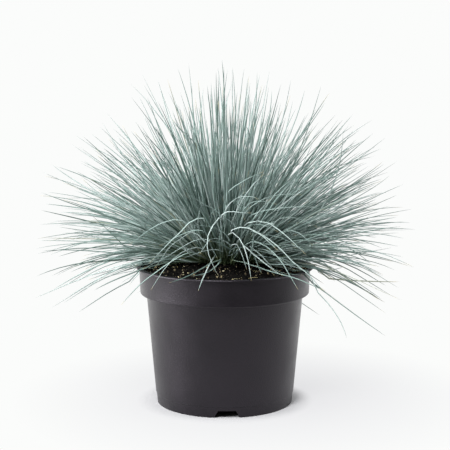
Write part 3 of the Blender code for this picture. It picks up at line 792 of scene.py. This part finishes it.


# Front leaves
# Leaves that have fallen forward from the crown over the mix, and some over the rim. They are set one by
# one where the
# photograph shows them: how far ahead of the pot's axis each comes into view and ends, in metres, how pale
# it is, and its places in the picture. How pale a leaf is here is partly painted light: one in the light is
# given a paler tone, one in shade a darker one.
VIEW_DISTANCE = 1.200
VIEW_HEIGHT = 0.335
VIEW_OFF_AXIS = 0.0003
VIEW_PITCH = math.radians(7.75)
PHOTO_PIXELS = 450
FOCAL_PIXELS = 1262
FRONT_WIDTHS = (0.00136, 0.00176)
FRONT_TWISTS = (-0.6, 0.6)
FRONT_TIP_START = 0.95
FRONT_TIP_FADE = 0.04
FRONT_FOOT_DEPTHS = (0.10, 0.70)
FRONT_FOOT_HALF_WIDTH = 0.0225
FRONT_FOOT_SCATTER = 0.0030
FRONT_RISE = np.array([0.20, 0.20, 0.68])
ROUTE_STEPS = 20
FRONT_LEAVES = {
    "middle_long": (0.080, 0.116, 1.0, (229, 234.1), (230.4, 232.5), (233.2, 232.7), (236.4, 234.5),
                    (239.6, 238.7), (242.8, 244.2), (245.1, 250.1), (248.3, 261.6), (251.6, 282.6)),
    "middle_short": (0.067, 0.096, 0.88, (231.8, 245.6), (233.6, 243.3), (235.9, 243.3), (238.2, 246.5),
                     (240.5, 251.5), (242.8, 256.6), (247, 270.9)),
    "middle_small": (0.048, 0.058, 0.35, (242.4, 246.2), (238.4, 249.7), (236.1, 254.9), (233.2, 259.4),
                     (230.9, 261.7)),
    "middle_curl": (0.046, 0.060, 0.75, (238.6, 247), (237.8, 249.2), (235.5, 252.4), (232.7, 254.3),
                    (229, 255.4), (224.4, 255.2)),
    "middle_bow": (0.050, 0.062, 0.45, (229.5, 252.9), (231.3, 249.7), (234.1, 247.9), (237.8, 247.2),
                   (249, 248.4)),
    "left_of_middle": (0.080, 0.112, 0.85, (223.4, 219), (221.6, 216.6), (219.6, 217.3), (217.5, 219.8),
                       (213, 225.4), (209.3, 232.2), (207.4, 238.7), (207.1, 245.1), (207.7, 250.6),
                       (209.3, 256.1), (214.3, 268.1), (219.7, 278.6)),
    "small_arch": (0.062, 0.092, 0.7, (231.3, 246.5), (228.1, 242.8), (222.1, 240), (217.5, 238.4),
                   (213, 238.2), (209.3, 240), (207, 242.8), (203.8, 247.9), (200.6, 252.4),
                   (198.7, 255.2)),
    "over_rim_left": (0.040, 0.116, 0.85, (214.5, 256.5), (211.2, 261.3), (208, 267.5), (205.1, 273.8),
                      (202.2, 280.1), (197.9, 291.6)),
    "low_left": (0.046, 0.102, 0.12, (220.8, 259.7), (212.2, 262.5), (207.4, 265.4), (198.8, 270.4),
                 (190.2, 275), (178.7, 279.8), (168.2, 283.1)),
    "low_left_thin": (0.046, 0.084, 0.3, (220.8, 260.6), (217, 265.4), (211.2, 270.2), (207.4, 272.1),
                      (201.7, 274.5), (190.2, 276)),
    "crown_left": (0.050, 0.080, 0.7, (222.1, 251.5), (219.4, 250.1), (215.3, 249.5), (210.7, 249.7),
                   (206.1, 250.6), (200.6, 251.8), (196.9, 253.4), (190, 255.7), (182, 258.9)),
    "crown_left_hanging": (0.050, 0.058, 0.4, (212, 247.5), (212.5, 249.2), (214.8, 253.4),
                           (217.5, 258.4)),
    "high_left_level": (0.078, 0.098, 0.5, (229.5, 240.5), (226.7, 235.5), (223, 231.8), (217.5, 229),
                        (210.7, 226.7), (203.8, 225.8), (194.6, 225.4), (185, 226.4)),
    "left_arch_high": (0.088, 0.120, 0.65, (204, 218.6), (200.9, 217.9), (195.5, 218.9), (190, 221.7),
                       (183.7, 229), (169.6, 242.4), (148.6, 264.1)),
    "left_arch_far": (0.072, 0.114, 0.6, (186, 222.5), (176, 219.5), (163.3, 222.7), (150.5, 229),
                      (128.2, 245.6)),
    "left_kinked": (0.076, 0.092, 0.75, (205, 242), (201.5, 238.6), (193.8, 230.4), (188.8, 233.5),
                    (170.9, 245.6), (161.4, 259), (153.1, 269.5)),
    "left_straight": (0.070, 0.082, 0.55, (203, 231), (191.3, 230.9), (176, 237.3), (159.4, 246.3)),
    "left_to_rim": (0.064, 0.078, 0.65, (208, 240.2), (201.5, 238.7), (195.2, 240.2), (182.4, 246.9),
                    (163.3, 258.7), (141.6, 269.2)),
    "left_over_rim": (0.058, 0.106, 0.75, (202, 248.6), (195.2, 247.5), (186.2, 250.4), (176, 256.5),
                      (163.3, 270.5), (150.2, 290.9)),
    "left_straggler": (0.056, 0.074, 0.45, (185, 254), (166.5, 264.7), (155, 273), (142.2, 282.6),
                       (131.4, 293.4), (120.5, 305.6)),
    "big_right_arch": (0.092, 0.128, 0.95, (231.3, 230.9), (234.1, 229), (238.7, 227.4), (244.2, 227),
                       (248.8, 228.1), (254.3, 230.9), (262, 235.5), (269.4, 242.4), (279, 251.4)),
    "right_arch_high": (0.094, 0.130, 0.8, (245.8, 224.6), (250.9, 221.4), (259.2, 221.1), (268.2, 222.7),
                        (283.5, 233.5), (297.5, 246.3), (307.1, 255.8)),
    "right_arch_under": (0.088, 0.098, 0.5, (245, 228), (252.9, 224.6), (260.5, 224.6), (268.2, 227.1),
                         (279.6, 232.5)),
    "right_fan_a": (0.064, 0.088, 0.7, (250.5, 246.3), (251.1, 246.9), (256.6, 251.5), (262, 256.1),
                    (274.6, 270.4)),
    "right_fan_b": (0.062, 0.090, 0.95, (243.7, 245.6), (248.8, 249.7), (254.3, 254.7), (261.6, 260.7),
                    (275, 270.9), (283.5, 276.2)),
    "right_over_rim": (0.062, 0.122, 0.55, (244.2, 245.6), (249.2, 241.9), (254.3, 241.4), (262, 244.2),
                       (269.4, 248.8), (280.9, 260.9), (289.8, 275.6), (298.8, 290.9)),
    "right_level": (0.060, 0.076, 0.5, (247, 244), (254.1, 241.1), (264.3, 243.7), (283.5, 246.3),
                    (297.5, 248.2)),
    "right_long": (0.070, 0.108, 0.7, (252, 231), (262.4, 234.8), (279, 247.5), (293.7, 262.8),
                   (308.3, 274.3), (319.2, 286.4), (326.2, 291.5)),
    "right_short_tip": (0.064, 0.084, 0.7, (266, 250), (279.6, 258.4), (287.3, 263.5), (295, 271.1)),
    "right_low_long": (0.040, 0.104, 0.4, (234.4, 260.6), (242.4, 261.7), (249.9, 264.6), (256.7, 266.3),
                       (265.4, 269.8), (275, 272.6), (298.8, 279.4), (324.3, 290.9)),
    "right_low_rim": (0.046, 0.072, 0.25, (262, 262), (274.5, 269.2), (283.5, 273), (303.9, 275.3)),
    "right_small_hanging": (0.058, 0.074, 0.2, (255, 257), (256.7, 262.3), (259, 267.5), (261.9, 274.4)),
    "right_far_small": (0.060, 0.078, 0.6, (290, 231), (302.6, 236), (308.3, 241.1), (313.4, 246.3)),
    "right_mid_short": (0.066, 0.080, 0.5, (266, 235), (275.8, 236.7), (283.5, 238.6), (295.6, 245.6)),
    "right_rising": (0.060, 0.078, 0.6, (258, 246), (270.7, 238), (287.3, 229), (300, 221.4)),
    "right_mid_low": (0.056, 0.072, 0.45, (250, 250), (265, 252), (283.5, 259), (307, 269.2)),
    "right_mid_lower": (0.054, 0.068, 0.45, (252, 254), (268.2, 257.1), (286, 262.2)),
    "hook": (0.070, 0.078, 0.3, (243.5, 236), (246, 232.8), (248.4, 232.1), (250.6, 233.4), (252.8, 236)),
    "hanging_right": (0.098, 0.100, 0.5, (233.5, 199), (235.9, 200.1), (238.7, 204.7), (241, 209.3),
                      (242.8, 213.9), (244.6, 218.5), (244.9, 224)),
    "upper_level": (0.108, 0.168, 0.95, (221.4, 216.2), (222.6, 214.4), (224.9, 212.7), (229, 211.4),
                    (233.6, 211.7), (240.5, 212.5), (245.1, 213), (252, 212.5)),
    "level_to_left": (0.090, 0.140, 0.5, (236, 228), (232.7, 223.1), (229, 219.8), (224.9, 218),
                      (219.8, 216.2), (215.7, 214.8), (212, 214.3)),
    "short_to_right": (0.092, 0.100, 0.45, (211.1, 214.4), (213.9, 210.7), (217.5, 208.4), (219.8, 207.2),
                       (222.8, 205.2)),
    "upper_hook": (0.100, 0.150, 0.55, (243, 211), (250.5, 202.9), (260, 201), (269.6, 202.4),
                   (278.2, 204.8)),
    "upper_arch": (0.106, 0.152, 0.85, (228.1, 205.6), (231.3, 202), (235.5, 198.9), (239.6, 196.9),
                   (245.1, 196.2), (251.1, 196.7), (255.2, 197.6), (259.3, 200.1)),
    "upper_rising": (0.100, 0.156, 0.9, (223.8, 216), (225.4, 210.2), (228.1, 205.6), (231.3, 202.4),
                     (235.9, 198.7), (241.4, 195.1), (246.2, 190.9)),
    "upper_straight": (0.100, 0.160, 0.6, (228, 193), (243.8, 180.9), (263.9, 171.3)),
    "crossing_left": (0.100, 0.146, 0.55, (219.8, 214.8), (217.5, 212), (214.3, 209.3), (208.4, 206.5),
                      (202.4, 203.8), (196.9, 199.2), (190, 196), (184, 191.6)),
    "right_long_low": (0.082, 0.100, 0.6, (262, 228), (270.7, 223.3), (286, 216.9), (302.6, 220.1),
                       (319.8, 228.4)),
    "right_long_high": (0.092, 0.140, 0.6, (247, 211), (262, 199.5), (282, 194.3), (303.7, 195)),
    "right_long_top": (0.086, 0.134, 0.6, (252, 215), (267.8, 210), (303.7, 206.5), (329.5, 210.9)),
}


def seen_at(pixel_x, pixel_y, ahead):
    """The point, ahead metres in front of the pot's axis, that the view shows at a pixel."""
    across = (pixel_x - PHOTO_PIXELS / 2) / FOCAL_PIXELS
    down = (pixel_y - PHOTO_PIXELS / 2) / FOCAL_PIXELS
    forward = math.cos(VIEW_PITCH) - down * math.sin(VIEW_PITCH)
    rise = -math.sin(VIEW_PITCH) - down * math.cos(VIEW_PITCH)
    reach = (VIEW_DISTANCE - ahead) / forward
    return np.array([VIEW_OFF_AXIS + across * reach, -ahead, VIEW_HEIGHT + rise * reach])


def walked_to(points):
    """How far along a route each of its points lies."""
    return np.concatenate([[0.0], np.cumsum(np.linalg.norm(np.diff(points, axis=0), axis=1))])


def seen_points(first_ahead, last_ahead, *pixels):
    """The points of a route: its pixels, at depths that change evenly along it."""
    pixels = np.array(pixels)
    walked = walked_to(pixels)
    aheads = first_ahead + (last_ahead - first_ahead) * walked / walked[-1]
    return [seen_at(*pixel, ahead) for pixel, ahead in zip(pixels, aheads)]


def smooth_route(knots):
    """Evenly spaced points, one for each station of the arched blade, on a smooth curve through knots."""
    knots = np.array(knots)
    knots = np.vstack([2.0 * knots[0] - knots[1], knots, 2.0 * knots[-1] - knots[-2]])
    part = (np.arange(ROUTE_STEPS) / ROUTE_STEPS)[:, None]
    spans = []
    for a, b, c, d in zip(knots, knots[1:], knots[2:], knots[3:]):
        spans.append(0.5 * (2.0 * b + (c - a) * part + (2.0 * a - 5.0 * b + 4.0 * c - d) * part ** 2
                            + (3.0 * b - a - 3.0 * c + d) * part ** 3))
    curve = np.vstack([*spans, knots[-2]])
    walked = walked_to(curve)
    at = arched_shares * walked[-1]
    return np.stack([np.interp(at, walked, curve[:, axis]) for axis in range(3)], axis=1)


def from_crown(points):
    """A route's points, with the foot of the leaf put before them, in the crown straight behind."""
    foot_x = float(np.clip(points[0][0], -FRONT_FOOT_HALF_WIDTH, FRONT_FOOT_HALF_WIDTH))
    foot_x += draw.uniform(-1.0, 1.0) * FRONT_FOOT_SCATTER
    foot_y = -draw.uniform(*FRONT_FOOT_DEPTHS) * CROWN_RADIUS
    foot = np.array([foot_x, foot_y, soil_height(math.hypot(foot_x, foot_y)) + TOUCH_GAP])
    return [foot, foot + (points[0] - foot) * FRONT_RISE, *points]


count = len(FRONT_LEAVES)
# Partly painted light: these tones make leaves in the light paler and leaves in shade darker.
tones = np.array([tone for _, _, tone, *_ in FRONT_LEAVES.values()])
routes = [from_crown(seen_points(first, last, *pixels))
          for first, last, _, *pixels in FRONT_LEAVES.values()]
paths = held_clear(np.array([smooth_route(route) for route in routes]))
tip_dryness = dried_tip(arched_shares, FRONT_TIP_START, FRONT_TIP_FADE)
front_leaves = blades_along("front_leaves", arched_blade, paths, draw.uniform(*FRONT_WIDTHS, count),
                            draw.uniform(*FRONT_TWISTS, count), tones, np.tile(tip_dryness, (count, 1)))
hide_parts(*front_tufts)


# Dry leaves
# Old leaves that have dried and dropped. Long ones lie inside the rim where the photograph shows them,
# given as the front leaves are but without a tone, and short scraps are scattered over the mix, most of
# them close to the rim.
SCRAP_COUNT = 16
SCRAP_LENGTHS = (0.004, 0.012)
SCRAP_WIDTHS = (0.0005, 0.0012)
SCRAP_RISE = 0.0011
SCRAP_BENDS = (-0.15, 0.15)
SCRAP_RIM_BIAS = 0.6
SCRAP_EDGE_GAP = 0.0030
SCRAP_KNOTS = ((-1.0, 0.0, 0.2), (-0.3, 0.8, 0.9), (0.3, 0.9, 1.0), (1.0, 0.1, 0.4))
DRY_WIDTH = 0.00110
DRYNESSES = (0.55, 1.0)
DRY_TONES = (0.2, 0.8)
DRY_SEED = 41
DRY_LEAVES = {
    "left_inner": (0.010, 0.014, (188.8, 262.8), (180.5, 263.6), (173.5, 265.4), (165.8, 265.4)),
    "left_front": (0.006, 0.054, (182.4, 264.1), (174.7, 267.3), (165.8, 271.8), (158.2, 276.0)),
    "left_rim": (0.018, 0.026, (158.2, 269.0), (150.5, 270.4), (142.5, 270.6)),
    "left_rim_under": (0.006, 0.016, (160, 266.4), (151, 266.8), (144, 269)),
    "middle": (0.022, 0.034, (226, 257.5), (221.9, 259), (213.6, 261.6), (207, 264.5)),
    "right_front": (0.034, 0.056, (284.7, 271.8), (279.6, 273.4), (273.3, 275), (267.5, 276.6)),
    "right_inner": (0.012, 0.028, (286, 266.4), (289.2, 267.3), (296.2, 269.2), (302, 270.6)),
    "right_rim": (0.020, 0.026, (290, 270.3), (296, 271.8), (302.6, 271.4)),
    "past_right_rim": (0.004, 0.014, (306, 262.5), (314, 267), (324.3, 272.4), (335, 281.3)),
}
draw = np.random.default_rng(DRY_SEED)


def scrap_path():
    """A short bent path that lies on the mix inside the rim."""
    inner, outer = CROWN_RADIUS, soil_edge_radius - SCRAP_EDGE_GAP
    radius = inner + (outer - inner) * draw.random() ** SCRAP_RIM_BIAS
    around, heading = draw.uniform(0.0, math.tau, 2)
    reach = draw.uniform(*SCRAP_LENGTHS) / 2.0
    bend = draw.uniform(*SCRAP_BENDS) * reach
    knots = []
    for along, aside, rise in SCRAP_KNOTS:
        x = radius * math.cos(around) + along * reach * math.cos(heading) - aside * bend * math.sin(heading)
        y = radius * math.sin(around) + along * reach * math.sin(heading) + aside * bend * math.cos(heading)
        away = math.hypot(x, y)
        inwards = min(1.0, outer / away)
        knots.append((x * inwards, y * inwards, soil_height(away * inwards) + rise * SCRAP_RISE))
    return smooth_route(knots)


scraps = [scrap_path() for _ in range(SCRAP_COUNT)]
routes = [smooth_route(seen_points(*route)) for route in DRY_LEAVES.values()]
fallen = list(held_clear(np.array(routes)))
count = len(scraps) + len(fallen)
widths = np.concatenate([draw.uniform(*SCRAP_WIDTHS, len(scraps)), np.full(len(fallen), DRY_WIDTH)])
dryness = np.repeat(draw.uniform(*DRYNESSES, count)[:, None], len(arched_shares), axis=1)
blades_along("dry_leaves", arched_blade, np.array(scraps + fallen), widths,
             draw.uniform(*BLADE_TWISTS, count), draw.uniform(*DRY_TONES, count), dryness)


# Floor, lights and camera
# A plain pale paper floor that runs out to a white background. It glows, which is painted light, so that
# shadows on it stay faint, and its glow is greyer towards a spot just right of and behind the pot: a
# painted shadow. Big soft lights stand left, right and high in front. The view is the photograph's: a long
# lens a little above the pot, looking slightly down.
FLOOR_SEGMENTS = 96
FLOOR_RADIUS = 0.25
FLOOR_CENTRE = (0.03, 0.02, 0.0)
POT_SHADE_RADII = (0.066, 0.088)
FADE_RADII = (0.05, 0.24)
PAPER_GLOW = 0.84
BRIGHT_SIDE = (-0.45, 0.89, 0.0)
BRIGHTENING = (-0.90, 0.40)
WALL_GLOWS = (0.03, 1.37)
BACKGROUND = "#fbfcfb"
LIGHTS_AIM = (0.0, 0.0, 0.17)
# Each softbox: its place, width and height in metres, and its watts.
SOFTBOXES = {
    "left_softbox": ((-1.25, -0.26, 0.32), 1.1, 1.0, 33.0),
    "right_softbox": ((1.30, -0.18, 0.85), 0.8, 1.4, 16.0),
    "front_softbox": ((-0.30, -0.95, 1.40), 0.45, 0.45, 37.0),
}
SENSOR_WIDTH_MM = 36.0

floor = new_shape(bpy.ops.mesh.primitive_circle_add, vertices=FLOOR_SEGMENTS, radius=FLOOR_RADIUS,
                  fill_type="NGON", location=FLOOR_CENTRE)
bpy.ops.object.transform_apply(location=True, rotation=True, scale=True)
floor.name = "studio_floor"
paper, tree, shader = finish_called("white_paper_floor")
spot = put(tree, "ShaderNodeTexCoord").outputs["Object"]
off_pot = put(tree, "ShaderNodeVectorMath", links={0: spot}, operation="LENGTH").outputs["Value"]
far = put(tree, "ShaderNodeVectorMath", {1: FLOOR_CENTRE}, {0: spot}, operation="DISTANCE").outputs["Value"]
lit = put(tree, "ShaderNodeMapRange",
          {"From Min": POT_SHADE_RADII[0], "From Max": POT_SHADE_RADII[1]},
          {"Value": off_pot}, interpolation_type="SMOOTHSTEP").outputs["Result"]
fading = put(tree, "ShaderNodeMapRange",
             {"From Min": FADE_RADII[0], "From Max": FADE_RADII[1], "To Min": PAPER_GLOW},
             {"Value": far}, interpolation_type="SMOOTHSTEP").outputs["Result"]
# Painted light: away from the pot the paper glows, and glows most far from it.
glowing = put(tree, "ShaderNodeMath", links={0: lit, 1: fading}, operation="MULTIPLY").outputs["Value"]
wire(tree, shader, {"Base Color": linear("#a4a4a6"), "Roughness": 0.9, "Specular IOR Level": 0.0})
# Painted shadow: the glow's colour is greyer near FLOOR_CENTRE, just right of and behind the pot, and white
# far from it.
glow_with_painted_shadow = put(tree, "ShaderNodeMix", {6: linear("#eeeef0"), 7: linear(BACKGROUND)}, data_type="RGBA",
                 links={0: put(tree, "ShaderNodeMapRange",
                               {"From Min": FADE_RADII[0], "From Max": FADE_RADII[1]},
                               {"Value": far}).outputs["Result"]})
glow = put(tree, "ShaderNodeEmission", links={"Color": glow_with_painted_shadow.outputs[2]})
both = put(tree, "ShaderNodeMixShader", links={0: glowing, 1: shader.outputs["BSDF"],
                                               2: glow.outputs["Emission"]})
wire(tree, tree.nodes["Material Output"], links={"Surface": both.outputs["Shader"]})
floor.data.materials.append(paper)

world = bpy.data.worlds.new("white_studio")
bpy.context.scene.world = world
world.use_nodes = True
tree = world.node_tree
camera_ray = put(tree, "ShaderNodeLightPath").outputs["Is Camera Ray"]
direction = put(tree, "ShaderNodeTexCoord").outputs["Generated"]
backwards = put(tree, "ShaderNodeVectorMath", {1: BRIGHT_SIDE}, {0: direction},
                operation="DOT_PRODUCT").outputs["Value"]
studio = put(tree, "ShaderNodeMapRange",
             {"From Min": BRIGHTENING[0], "From Max": BRIGHTENING[1], "To Min": WALL_GLOWS[0],
              "To Max": WALL_GLOWS[1]}, {"Value": backwards}, interpolation_type="SMOOTHSTEP")
strength = put(tree, "ShaderNodeMix", {3: 1.0}, {0: camera_ray, 2: studio.outputs["Result"]})
wire(tree, tree.nodes["Background"], {"Color": linear(BACKGROUND)}, {"Strength": strength.outputs[0]})

for name, (place, width, height, power) in SOFTBOXES.items():
    lamp = bpy.data.lights.new(name, "AREA")
    lamp.shape = "RECTANGLE"
    lamp.size = width
    lamp.size_y = height
    lamp.energy = power
    softbox = in_scene(name, lamp)
    softbox.location = place
    towards = Vector(LIGHTS_AIM) - Vector(place)
    softbox.rotation_euler = towards.to_track_quat("-Z", "Y").to_euler()

lens = bpy.data.cameras.new("photo_view")
lens.sensor_width = SENSOR_WIDTH_MM
lens.lens = SENSOR_WIDTH_MM * FOCAL_PIXELS / PHOTO_PIXELS
lens.clip_start = 0.05
lens.clip_end = 60.0
camera = in_scene("photo_view", lens)
camera.location = (VIEW_OFF_AXIS, -VIEW_DISTANCE, VIEW_HEIGHT)
camera.rotation_euler = (math.pi / 2.0 - VIEW_PITCH, 0.0, 0.0)
bpy.context.scene.camera = camera
